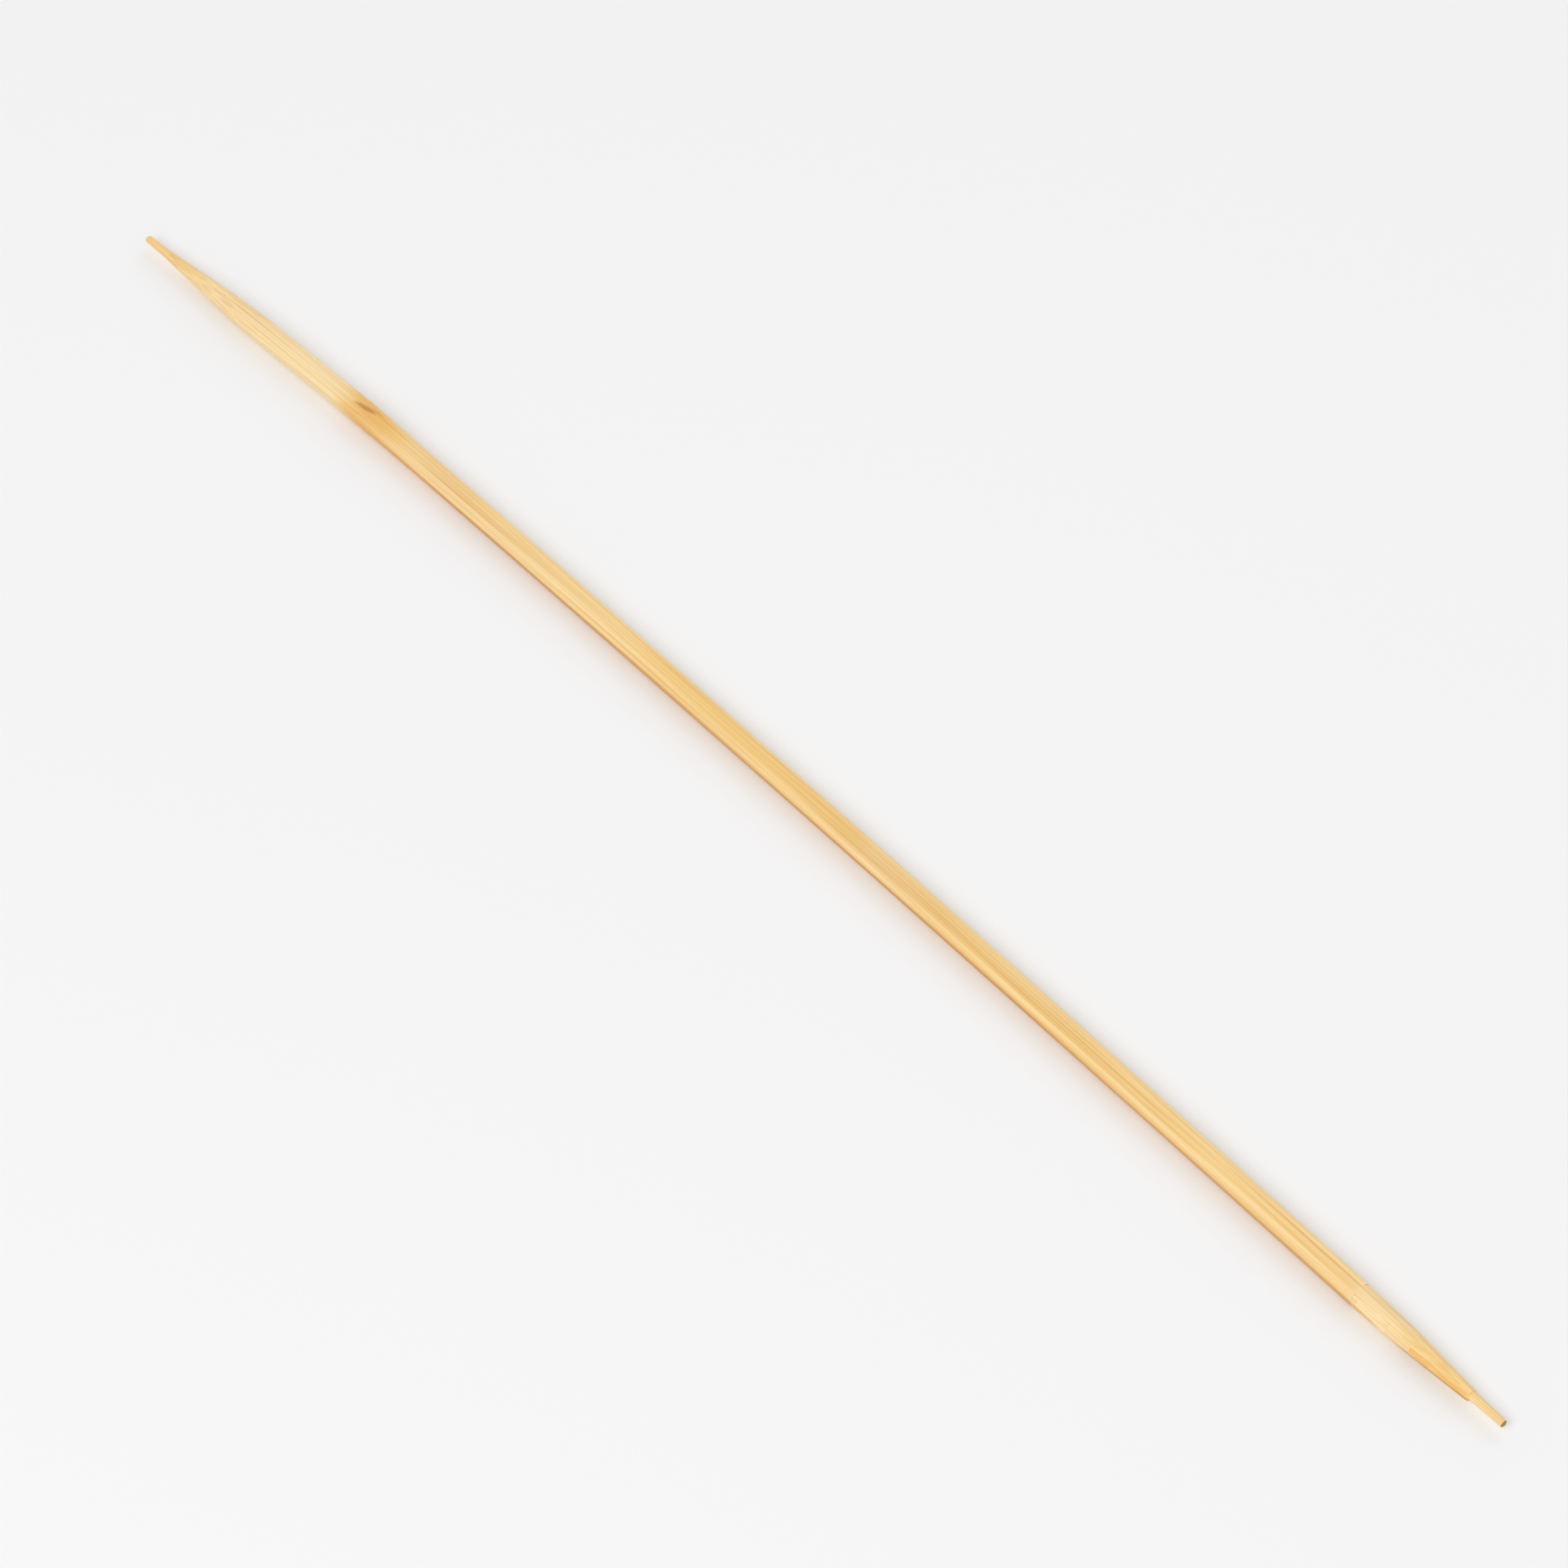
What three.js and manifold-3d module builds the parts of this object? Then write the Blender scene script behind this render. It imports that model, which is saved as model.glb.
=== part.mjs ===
// Bamboo stick: one split and shaved bamboo rod with a sharpened point at each end.
// Millimetres, +Z up. The stick lies along X on its flat underside, far point at -X and near
// point at +X, and its slight bow bulges towards +Y, level with the table.
import * as THREE from "three";
import { mergeVertices } from "three/addons/utils/BufferGeometryUtils.js";
import Module from "manifold-3d";

// Whole stick
const STICK_LENGTH = 200;
const BOW_RISE = 0.65; // even bow over the whole length
const LENGTH_STEPS = 80;

// Split section of the shank: a rounded four-sided rod, no two faces quite alike.
// Each face has the angle that it faces, from +Y towards +Z, and its distance from the pith line.
const RIGHT_FACE_ANGLE = 16;
const RIGHT_FACE_REACH = 1.2;
const TOP_FACE_ANGLE = 104;
const TOP_FACE_REACH = 1.2;
const LEFT_FACE_ANGLE = 190;
const LEFT_FACE_REACH = 1.2;
const UNDERSIDE_ANGLE = 270;
const UNDERSIDE_REACH = 1.18;
const EDGE_RADIUS = 0.75; // rounded lengthwise edges between the faces
const EDGE_STEPS = 4;

// Culm knuckle, where the stick swells and changes direction a little
const KNUCKLE_FROM_FAR_TIP = 35;
const KNUCKLE_SWELL = 0.12; // extra thickness at its middle
const KNUCKLE_HALF_WIDTH = 4.5;
const KNUCKLE_BEND_DEGREES = 1.9;
const KNUCKLE_BEND_RADIUS = 8; // length over which the change of direction is spread

// Far point: a short cone whose shoulder runs out softly into the shank
const FAR_TIP_RADIUS = 0.4;
const FAR_NIB_LENGTH = 3.5;
const FAR_NIB_BASE_RADIUS = 0.46;
const FAR_NIB_OFFSET = 0;
const FAR_CONE_BASE_RADIUS = 0.48;
const FAR_BREAK_LENGTH = 12.9;
const FAR_BREAK_RADIUS = 1.12;
const FAR_SHOULDER_LENGTH = 16.6;
const FAR_SHOULDER_RADIUS = 1.26;
const FAR_RUNOUT_LENGTH = 27.5; // where the cone has left the wood all round
const FAR_RUNOUT_RADIUS = 1.67;

// Near point: a longer cone in two cuts with a crisp step at its shoulder, then a slender nib set
// a little off the cone's axis
const NEAR_TIP_RADIUS = 0.38;
const NEAR_NIB_LENGTH = 4.2;
const NEAR_NIB_BASE_RADIUS = 0.47;
const NEAR_NIB_OFFSET = 0.09;
const NEAR_CONE_BASE_RADIUS = 0.62;
const NEAR_BREAK_LENGTH = 12.7;
const NEAR_BREAK_RADIUS = 1.125;
const NEAR_SHOULDER_LENGTH = 18.9;
const NEAR_SHOULDER_RADIUS = 1.265;

// Both points
const NIB_OFFSET_ANGLE = 30; // way that an offset nib leans, from +Y towards +Z
const TIP_CHAMFER = 0.07; // worn edge of the blunt end face
const POINT_FACETS = 36;

// Shoulder flat: the first stroke of the knife, which took the upper left edge off the shank.
// Lengths run from the near tip, and the knife bites at the start and stops short of the tip.
const SHOULDER_FLAT_ANGLE = 154;
const SHOULDER_FLAT_START = 18.4;
const SHOULDER_FLAT_STOP = 14.4;
const SHOULDER_FLAT_REACH = 1.15; // from the pith line to the flat where the knife bites
const SHOULDER_FLAT_SLOPE_DEGREES = 1.7;

// Point flat: the second stroke, along the left side of the near point down to its nib
const POINT_FLAT_ANGLE = 162;
const POINT_FLAT_START = 11.4;
const POINT_FLAT_REACH = 0.97;
const POINT_FLAT_SLOPE_DEGREES = 3.1;

// Waste that the cutters reach into, beyond the wood
const CUTTER_RADIUS = 4;
const CUTTER_OVERRUN = 1;

const bamboo = new THREE.MeshStandardMaterial({ color: 0xf0cd91, roughness: 0.55, metalness: 0 });

const radians = THREE.MathUtils.degToRad;

// Section

// Faces in order round the section, anticlockwise seen from +X.
const faces = [
  { angle: radians(RIGHT_FACE_ANGLE), reach: RIGHT_FACE_REACH },
  { angle: radians(TOP_FACE_ANGLE), reach: TOP_FACE_REACH },
  { angle: radians(LEFT_FACE_ANGLE), reach: LEFT_FACE_REACH },
  { angle: radians(UNDERSIDE_ANGLE), reach: UNDERSIDE_REACH },
];

// Where two faces would meet if each were moved in by the edge radius: the centre of their edge.
function edgeCentre(first, second) {
  const a = first.reach - EDGE_RADIUS;
  const b = second.reach - EDGE_RADIUS;
  const turn = Math.sin(second.angle - first.angle);
  return new THREE.Vector2(
    (a * Math.sin(second.angle) - b * Math.sin(first.angle)) / turn,
    (b * Math.cos(first.angle) - a * Math.cos(second.angle)) / turn,
  );
}

// Outline of the shank, one arc for each edge, with the flat faces between them.
function sectionShape() {
  const shape = new THREE.Shape();
  faces.forEach((face, index) => {
    const next = faces[(index + 1) % faces.length];
    const centre = edgeCentre(face, next);
    shape.absarc(centre.x, centre.y, EDGE_RADIUS, face.angle, next.angle, false);
  });
  return shape;
}

// Centre line

// Two straight runs that meet in a soft bend at the knuckle.
function knuckleBend(fromFarTip) {
  const run = Math.hypot(fromFarTip - KNUCKLE_FROM_FAR_TIP, KNUCKLE_BEND_RADIUS);
  return (-radians(KNUCKLE_BEND_DEGREES) / 2) * run;
}

// Sideways place of the centre line, measured from the chord between the two tips.
function bow(fromFarTip) {
  const share = fromFarTip / STICK_LENGTH;
  const chord = THREE.MathUtils.lerp(knuckleBend(0), knuckleBend(STICK_LENGTH), share);
  return knuckleBend(fromFarTip) - chord + BOW_RISE * (1 - (2 * share - 1) ** 2);
}

function centreAt(fromFarTip) {
  return new THREE.Vector3(fromFarTip - STICK_LENGTH / 2, bow(fromFarTip), UNDERSIDE_REACH);
}

// Shank

// Share by which the section grows at the knuckle. The underside stays level.
function knuckleGrowth(fromFarTip) {
  const away = (fromFarTip - KNUCKLE_FROM_FAR_TIP) / KNUCKLE_HALF_WIDTH;
  const thickness = TOP_FACE_REACH + UNDERSIDE_REACH;
  return 1 + (KNUCKLE_SWELL / thickness) * Math.exp(-away * away);
}

// The section extruded from tip to tip, laid along X on its underside, swelled and bowed.
function shankGeometry() {
  const geometry = new THREE.ExtrudeGeometry(sectionShape(), {
    depth: STICK_LENGTH,
    steps: LENGTH_STEPS,
    curveSegments: EDGE_STEPS,
    bevelEnabled: false,
  });
  const points = geometry.getAttribute("position");
  for (let i = 0; i < points.count; i += 1) {
    const fromFarTip = points.getZ(i);
    const growth = knuckleGrowth(fromFarTip);
    const across = points.getX(i) * growth + bow(fromFarTip);
    const height = (points.getY(i) + UNDERSIDE_REACH) * growth;
    points.setXYZ(i, fromFarTip - STICK_LENGTH / 2, across, height);
  }
  return geometry;
}

// Cutters

// Ring of waste around a revolved profile of [distance from tip, radius] pairs, which ends square
// at the last of them.
function turnedCutter(profile) {
  const [endDistance] = profile.at(-1);
  const outline = [
    new THREE.Vector2(CUTTER_RADIUS, -CUTTER_OVERRUN),
    new THREE.Vector2(CUTTER_RADIUS, endDistance),
    ...profile.toReversed().map(([distance, radius]) => new THREE.Vector2(radius, distance)),
    new THREE.Vector2(profile[0][1], -CUTTER_OVERRUN),
    new THREE.Vector2(CUTTER_RADIUS, -CUTTER_OVERRUN),
  ];
  return new THREE.LatheGeometry(outline, POINT_FACETS);
}

// Sets a cutter's axis on the stick's own line, from a tip inwards.
function placeAtTip(geometry, tip, inner) {
  const inwards = new THREE.Vector3().subVectors(inner, tip).normalize();
  const turn = new THREE.Quaternion().setFromUnitVectors(new THREE.Vector3(0, 1, 0), inwards);
  return geometry.applyQuaternion(turn).translate(tip.x, tip.y, tip.z);
}

// The cone cut and the nib cut of one point.
function pointCutters(point) {
  const cone = turnedCutter(point.cone);
  const [nibLength, coneBaseRadius] = point.cone[0];
  const tipEdge = point.tipRadius - TIP_CHAMFER;
  const nibWaste = coneBaseRadius + CUTTER_OVERRUN;
  const nib = new THREE.LatheGeometry(
    [
      new THREE.Vector2(nibWaste, -CUTTER_OVERRUN),
      new THREE.Vector2(nibWaste, nibLength),
      new THREE.Vector2(point.nibBaseRadius, nibLength),
      new THREE.Vector2(point.tipRadius, TIP_CHAMFER),
      new THREE.Vector2(tipEdge, 0),
      new THREE.Vector2(tipEdge, -CUTTER_OVERRUN),
      new THREE.Vector2(nibWaste, -CUTTER_OVERRUN),
    ],
    POINT_FACETS,
  );
  const lean = radians(NIB_OFFSET_ANGLE);
  const offset = new THREE.Vector3(0, Math.cos(lean), Math.sin(lean)).multiplyScalar(point.nibOffset);
  return [
    placeAtTip(cone, point.tip, point.inner),
    placeAtTip(nib, point.tip, point.inner).translate(offset.x, offset.y, offset.z),
  ];
}

// Slab of waste over one flat of the near point. Its lower face falls towards the near tip.
function flatCutter(flat) {
  const run = flat.start - flat.stop;
  const slab = new THREE.BoxGeometry(run, 2 * CUTTER_RADIUS, CUTTER_RADIUS);
  slab.translate(run / 2, 0, CUTTER_RADIUS / 2);
  slab.rotateY(radians(flat.slopeDegrees));
  slab.translate(0, 0, flat.reach);
  slab.rotateX(radians(flat.angle - 90));
  const start = centreAt(STICK_LENGTH - flat.start);
  return slab.translate(start.x, start.y, start.z);
}

// Stick

const wasm = await Module();
wasm.setup();

function toSolid(geometry) {
  const bare = geometry.clone();
  bare.deleteAttribute("normal");
  bare.deleteAttribute("uv");
  const merged = mergeVertices(bare);
  return new wasm.Manifold(
    new wasm.Mesh({
      numProp: 3,
      vertProperties: new Float32Array(merged.getAttribute("position").array),
      triVerts: new Uint32Array(merged.getIndex().array),
    }),
  );
}

function toGeometry(solid) {
  const mesh = solid.getMesh();
  const geometry = new THREE.BufferGeometry();
  geometry.setAttribute("position", new THREE.BufferAttribute(new Float32Array(mesh.vertProperties), 3));
  geometry.setIndex(new THREE.BufferAttribute(new Uint32Array(mesh.triVerts), 1));
  geometry.computeVertexNormals();
  return geometry;
}

const farPoint = {
  tip: centreAt(0),
  inner: centreAt(FAR_SHOULDER_LENGTH),
  tipRadius: FAR_TIP_RADIUS,
  nibBaseRadius: FAR_NIB_BASE_RADIUS,
  nibOffset: FAR_NIB_OFFSET,
  cone: [
    [FAR_NIB_LENGTH, FAR_CONE_BASE_RADIUS],
    [FAR_BREAK_LENGTH, FAR_BREAK_RADIUS],
    [FAR_SHOULDER_LENGTH, FAR_SHOULDER_RADIUS],
    [FAR_RUNOUT_LENGTH, FAR_RUNOUT_RADIUS],
  ],
};

const nearPoint = {
  tip: centreAt(STICK_LENGTH),
  inner: centreAt(STICK_LENGTH - NEAR_SHOULDER_LENGTH),
  tipRadius: NEAR_TIP_RADIUS,
  nibBaseRadius: NEAR_NIB_BASE_RADIUS,
  nibOffset: NEAR_NIB_OFFSET,
  cone: [
    [NEAR_NIB_LENGTH, NEAR_CONE_BASE_RADIUS],
    [NEAR_BREAK_LENGTH, NEAR_BREAK_RADIUS],
    [NEAR_SHOULDER_LENGTH, NEAR_SHOULDER_RADIUS],
  ],
};

const shoulderFlat = {
  angle: SHOULDER_FLAT_ANGLE,
  start: SHOULDER_FLAT_START,
  stop: SHOULDER_FLAT_STOP,
  reach: SHOULDER_FLAT_REACH,
  slopeDegrees: SHOULDER_FLAT_SLOPE_DEGREES,
};

const pointFlat = {
  angle: POINT_FLAT_ANGLE,
  start: POINT_FLAT_START,
  stop: NEAR_NIB_LENGTH - CUTTER_OVERRUN,
  reach: POINT_FLAT_REACH,
  slopeDegrees: POINT_FLAT_SLOPE_DEGREES,
};

function makeStick() {
  const cutters = [
    ...pointCutters(farPoint),
    ...pointCutters(nearPoint),
    flatCutter(shoulderFlat),
    flatCutter(pointFlat),
  ];
  const solid = cutters.reduce((wood, cutter) => wood.subtract(toSolid(cutter)), toSolid(shankGeometry()));
  const stick = new THREE.Mesh(toGeometry(solid), bamboo);
  stick.name = "bamboo_stick";
  return stick;
}

const group = new THREE.Group();
const stick = makeStick();
group.add(stick);

// The origin is under the middle of the stick, on the table.
const box = new THREE.Box3().setFromObject(stick);
const middle = box.getCenter(new THREE.Vector3());
stick.position.set(-middle.x, -middle.y, -box.min.z);

export default group;
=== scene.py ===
"""Bamboo stick: one split bamboo rod with a shaved point at each end, lying on a pale floor.

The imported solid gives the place, length and box. The wood that shows is one fine mesh in the same
place: the rounded split section carried along the bowed pith line, cut back by the cutters that
made the two points, with fibre relief, a knuckle and long open grooves.
"""
import math

import bpy
import numpy as np
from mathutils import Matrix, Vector


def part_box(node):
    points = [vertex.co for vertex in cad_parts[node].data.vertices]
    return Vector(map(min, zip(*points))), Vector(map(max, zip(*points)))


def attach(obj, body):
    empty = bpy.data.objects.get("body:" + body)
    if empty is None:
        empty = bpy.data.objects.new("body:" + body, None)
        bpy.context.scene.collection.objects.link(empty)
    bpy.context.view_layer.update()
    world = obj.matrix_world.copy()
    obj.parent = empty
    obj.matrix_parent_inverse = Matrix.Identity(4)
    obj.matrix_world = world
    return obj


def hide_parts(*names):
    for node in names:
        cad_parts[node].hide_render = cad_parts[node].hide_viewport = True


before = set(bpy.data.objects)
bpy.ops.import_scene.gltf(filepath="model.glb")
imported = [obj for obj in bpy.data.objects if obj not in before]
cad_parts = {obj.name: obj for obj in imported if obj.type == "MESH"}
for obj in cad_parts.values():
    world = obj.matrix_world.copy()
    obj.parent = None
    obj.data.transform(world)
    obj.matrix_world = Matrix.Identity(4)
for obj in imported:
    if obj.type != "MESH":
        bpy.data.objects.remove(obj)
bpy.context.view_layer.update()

MM = 0.001
NODE = "bamboo_stick"

# Whole stick
NODE_LOW, NODE_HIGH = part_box(NODE)
LENGTH = NODE_HIGH.x - NODE_LOW.x
MIDDLE = (NODE_LOW + NODE_HIGH) / 2
BOW_RISE = 0.65 * MM

# Split section: the way that each face looks, from +Y towards +Z, and its reach from the pith line.
# The faces in order are the back one, the top, the front one and the underside.
FACE_ANGLES = np.radians([16, 104, 190, 270])
FACE_REACHES = np.array([1.2, 1.2, 1.2, 1.18]) * MM
TOP_REACH, UNDERSIDE_REACH = FACE_REACHES[1], FACE_REACHES[3]
EDGE_RADIUS = 0.75 * MM

# Culm knuckle: its swelling and bend, then the low slanted ring round it and the hollow beside that
KNUCKLE_PLACE = 35 * MM
KNUCKLE_SWELL = 0.12 * MM
KNUCKLE_HALF_WIDTH = 4.5 * MM
KNUCKLE_BEND = math.radians(1.9)
KNUCKLE_BEND_RADIUS = 8 * MM
RING_HEIGHT = 0.03 * MM
RING_HALF_WIDTH = 0.45 * MM
RING_HOLLOW = 0.8
RING_SLANT = 0.9 * MM
RING_LEAN = math.radians(158)

# Points. Lengths run from the tip. The cone's profile is its distances from the tip and its radii;
# the lean is how far the nib stands off the cone's axis.
FAR_POINT = {
    "tip_radius": 0.4 * MM,
    "nib_base_radius": 0.46 * MM,
    "nib_lean": 0,
    "shoulder": 16.6 * MM,
    "cone_lengths": np.array([3.5, 12.9, 16.6, 27.5]) * MM,
    "cone_radii": np.array([0.48, 1.12, 1.26, 1.67]) * MM,
}
NEAR_POINT = {
    "tip_radius": 0.38 * MM,
    "nib_base_radius": 0.47 * MM,
    "nib_lean": 0.09 * MM,
    "shoulder": 18.9 * MM,
    "cone_lengths": np.array([4.2, 12.7, 18.9]) * MM,
    "cone_radii": np.array([0.62, 1.125, 1.265]) * MM,
}
LEAN_ANGLE = math.radians(30)
TIP_CHAMFER = 0.07 * MM

# Knife flats on the near point: the shoulder flat, then the point flat down to the nib
SHOULDER_FLAT = {
    "facing": math.radians(154), "start": 18.4 * MM, "stop": 14.4 * MM,
    "reach": 1.15 * MM, "slope": math.tan(math.radians(1.7)),
}
POINT_FLAT = {
    "facing": math.radians(162), "start": 11.4 * MM, "stop": 3.2 * MM,
    "reach": 0.97 * MM, "slope": math.tan(math.radians(3.1)),
}

# Fibre relief: fine waves round the section that drift slowly along it. Each has a count of waves in
# a turn, from the first of FIBRE_COUNTS up to just below the second. The relief is weaker where the
# wood is cut, and fades out towards the underside, between two shares of the underside's reach.
FIBRE_SEED = 11
FIBRE_WAVES = 34
FIBRE_COUNTS = (9, 46)
FIBRE_HEIGHT = 0.0035 * MM
FIBRE_SINK = 2
FIBRE_DRIFT = 22.0
SECOND_DRIFT = 2.7 * FIBRE_DRIFT
SECOND_SHARE = 0.4
CUT_RELIEF = 0.5
UNDERSIDE_FADE = (0.85, 0.95)

# Open grooves. For each: the way that it faces in degrees, its start and end in mm from the far tip,
# and its share of the full depth.
GROOVES = [
    (86, 99, 151, 0.9), (102, 104, 158, 1.0), (117, 107, 150, 0.8), (128, 101, 162, 0.9), (148, 44, 92, 0.7),
    (71, 18, 58, 0.6), (110, 44, 76, 0.5), (205, 60, 140, 0.8), (238, 28, 96, 0.7), (262, 120, 176, 0.6),
    (300, 36, 120, 0.8), (335, 90, 172, 0.9), (12, 50, 128, 0.7),
]
GROOVE_DEPTH = 0.03 * MM
GROOVE_HALF_WIDTH = 0.065 * MM
GROOVE_FADE = 8 * MM
GROOVE_WANDER = 0.04
GROOVE_WANDER_RATE = 40

# Mesh: vertices round the section and steps along the stick. The fine steps of a point go on past
# its shoulder by its margin, and a crisp edge falls over STEP_WIDTH.
TURNS = 108
SHANK_STEP = 0.4 * MM
KNUCKLE_STEP = 0.2 * MM
FAR_STEP = 0.12 * MM
FAR_MARGIN = 3 * MM
NEAR_STEP = 0.1 * MM
NEAR_MARGIN = 1 * MM
STEP_WIDTH = 0.02 * MM
DENSITY_SAMPLES = 8001
# Samples of the section's outline: on each rounded edge, and between two neighbours of those
ARC_SAMPLES = 60
SIDE_SAMPLES = 40
# Cosine below which a knife's plane is out of reach, and the cut depth at which a mask is full
GRAZING_COSINE = 0.05
MASK_DEPTH = 0.03 * MM
# Sizes of an end face's inner rings, as shares of the outermost
END_RINGS = (0.3, 0.65)
# Bake map: its cells and the gap round each
MAP_COLUMNS, MAP_ROWS = 2, 6
MAP_GAP = 0.004
SHARP_ANGLE = math.radians(30)

# Camera, floor and light. FRAME_SHARE is how much of the picture's width the stick fills, and
# WORLD_LEVEL is the strength of the even light from all round.
AZIMUTH = math.radians(49.2)
ELEVATION = math.radians(49)
CAMERA_DISTANCE = 0.69
FRAME_SHARE = 0.86
CLIP_START = 0.01
FLOOR_SIZE = 6.0
FLOOR_ROUGHNESS = 0.6
WORLD_LEVEL = 0.63
KEY_PLACE = Vector((0.25, -0.72, 0.82))
KEY_SIZE = 0.6
KEY_POWER = 4.9
BACK_PLACE = Vector((-0.3, 0.8, 0.6))
BACK_SIZE = 0.8
BACK_POWER = 1.7


# Form of the wood

def section_reach(turn):
    """Distance from the pith line to the split section in the direction turn. The outline is the
    inner four-sided figure, whose faces are moved in by the edge radius, grown by that radius."""
    following = np.roll(FACE_ANGLES, -1) + np.array([0, 0, 0, 2 * np.pi])
    inner = FACE_REACHES - EDGE_RADIUS
    inner_next = np.roll(inner, -1)
    across = np.sin(following - FACE_ANGLES)
    centre_y = (inner * np.sin(following) - inner_next * np.sin(FACE_ANGLES)) / across
    centre_z = (inner_next * np.cos(FACE_ANGLES) - inner * np.cos(following)) / across
    sweep = FACE_ANGLES[:, None] + (following - FACE_ANGLES)[:, None] * np.linspace(0, 1, ARC_SAMPLES)
    outline = (centre_y[:, None] + 1j * centre_z[:, None] + EDGE_RADIUS * np.exp(1j * sweep)).ravel()
    share = np.linspace(0, 1, SIDE_SAMPLES, endpoint=False)[:, None]
    fine = (outline + share * (np.roll(outline, -1) - outline)).T.ravel()
    return np.interp(turn, np.angle(fine) % (2 * np.pi), np.abs(fine), period=2 * np.pi)


def knuckle_bend(along):
    """Sideways place of two straight runs that meet in a soft bend at the knuckle: a hyperbola."""
    return -KNUCKLE_BEND / 2 * np.hypot(along - KNUCKLE_PLACE, KNUCKLE_BEND_RADIUS)


def bow(along):
    """Sideways place of the pith line from the chord between the tips: the knuckle's bend less
    its own chord, plus an even parabola."""
    share = along / LENGTH
    chord = knuckle_bend(0) + share * (knuckle_bend(LENGTH) - knuckle_bend(0))
    return knuckle_bend(along) - chord + BOW_RISE * (1 - (2 * share - 1) ** 2)


def eased(value):
    """Smooth step from 0 to 1: three squares less two cubes."""
    held = np.clip(value, 0, 1)
    return held * held * (3 - 2 * held)


def circle_reach(turn, radius, off_y, off_z):
    """Distance from the pith line, in the direction turn, to a circle whose centre is off it."""
    ahead = off_y * np.cos(turn) + off_z * np.sin(turn)
    aside = off_y * np.sin(turn) - off_z * np.cos(turn)
    return ahead + np.sqrt(np.maximum(radius**2 - aside**2, 0))


def plane_reach(turn, facing, distance):
    """Distance from the pith line, in the direction turn, to a plane that looks along facing."""
    toward = np.cos(turn - facing)
    return np.where(toward > GRAZING_COSINE, distance / np.maximum(toward, GRAZING_COSINE), LENGTH)


def point_reach(point, from_tip, tip_place, sign, turn):
    """Reach that one point's cutters leave: the nib near the tip, then a cone in two slopes about
    the straight axis from the tip to the pith line at the shoulder."""
    nib_length, shoulder = point["cone_lengths"][0], point["shoulder"]
    cone = np.interp(from_tip, point["cone_lengths"], point["cone_radii"], right=LENGTH)
    nib = np.interp(
        from_tip,
        [0, TIP_CHAMFER, nib_length],
        [point["tip_radius"] - TIP_CHAMFER, point["tip_radius"], point["nib_base_radius"]],
    )
    radius = np.where(from_tip > nib_length, cone, nib)
    lean = np.where(from_tip > nib_length, 0, point["nib_lean"])
    axis = bow(tip_place) + (bow(tip_place + sign * shoulder) - bow(tip_place)) * from_tip / shoulder
    off_y = axis - bow(tip_place + sign * from_tip) + lean * math.cos(LEAN_ANGLE)
    return circle_reach(turn, radius, off_y, lean * math.sin(LEAN_ANGLE))


def flat_reach(flat, along, turn):
    """Reach under one knife flat: a plane that looks along its facing and falls towards the near
    tip, between the places where the knife bit and stopped."""
    from_near = LENGTH - along
    side = (bow(LENGTH - flat["start"]) - bow(along)) * math.cos(flat["facing"])
    distance = flat["reach"] - flat["slope"] * (flat["start"] - from_near) + side
    reach = plane_reach(turn, flat["facing"], distance)
    return np.where((from_near < flat["start"]) & (from_near > flat["stop"]), reach, LENGTH)


def wood_reach(along, turn):
    """Reach of the bare wood, with masks of what took it down: the split section, cut back by both
    points' cutters and then by the two flats. Each mask rises from 0 to 1 over MASK_DEPTH."""
    section = section_reach(turn) + np.zeros_like(along)
    far = point_reach(FAR_POINT, along, 0, 1, turn)
    near = point_reach(NEAR_POINT, LENGTH - along, LENGTH, -1, turn)
    turned = np.minimum.reduce([section, far, near])
    shoulder = flat_reach(SHOULDER_FLAT, along, turn)
    point = flat_reach(POINT_FLAT, along, turn)
    bare = np.minimum.reduce([turned, shoulder, point])
    masks = {
        "cut": (section - bare) / MASK_DEPTH,
        "shoulder_flat": (turned - shoulder) / MASK_DEPTH,
        "point_flat": (turned - point) / MASK_DEPTH,
    }
    return bare, {name: np.clip(mask, 0, 1) for name, mask in masks.items()}


def knuckle_ring(along, turn):
    """Low slanted ring round the knuckle, a bell along the stick, less a shallower bell two half
    widths to its far side. The slant is a sine round the section."""
    away = (along - KNUCKLE_PLACE - RING_SLANT * np.sin(turn - RING_LEAN)) / RING_HALF_WIDTH
    return RING_HEIGHT * (np.exp(-away**2) - RING_HOLLOW * np.exp(-((away + 2) ** 2)))


def knuckle_growth(along):
    """How many times thicker the stick is than its shank: one, plus a bell at the knuckle."""
    bell = np.exp(-(((along - KNUCKLE_PLACE) / KNUCKLE_HALF_WIDTH) ** 2))
    return 1 + KNUCKLE_SWELL / (TOP_REACH + UNDERSIDE_REACH) * bell


def fibre_relief(along, turn, rng):
    """Sum of fine cosines round the section, whose phases wander along the stick as two sines. It
    lies below the bare wood but for the rare crest."""
    relief = np.zeros(np.broadcast(along, turn).shape)
    for number in rng.integers(*FIBRE_COUNTS, FIBRE_WAVES):
        phase, bend, drift = rng.uniform(0, 2 * np.pi, 3)
        wander = np.sin(FIBRE_DRIFT * along + bend) + SECOND_SHARE * np.sin(SECOND_DRIFT * along + drift)
        relief += np.cos(number * turn + phase + wander)
    return FIBRE_HEIGHT * (relief / math.sqrt(FIBRE_WAVES) - FIBRE_SINK)


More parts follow.
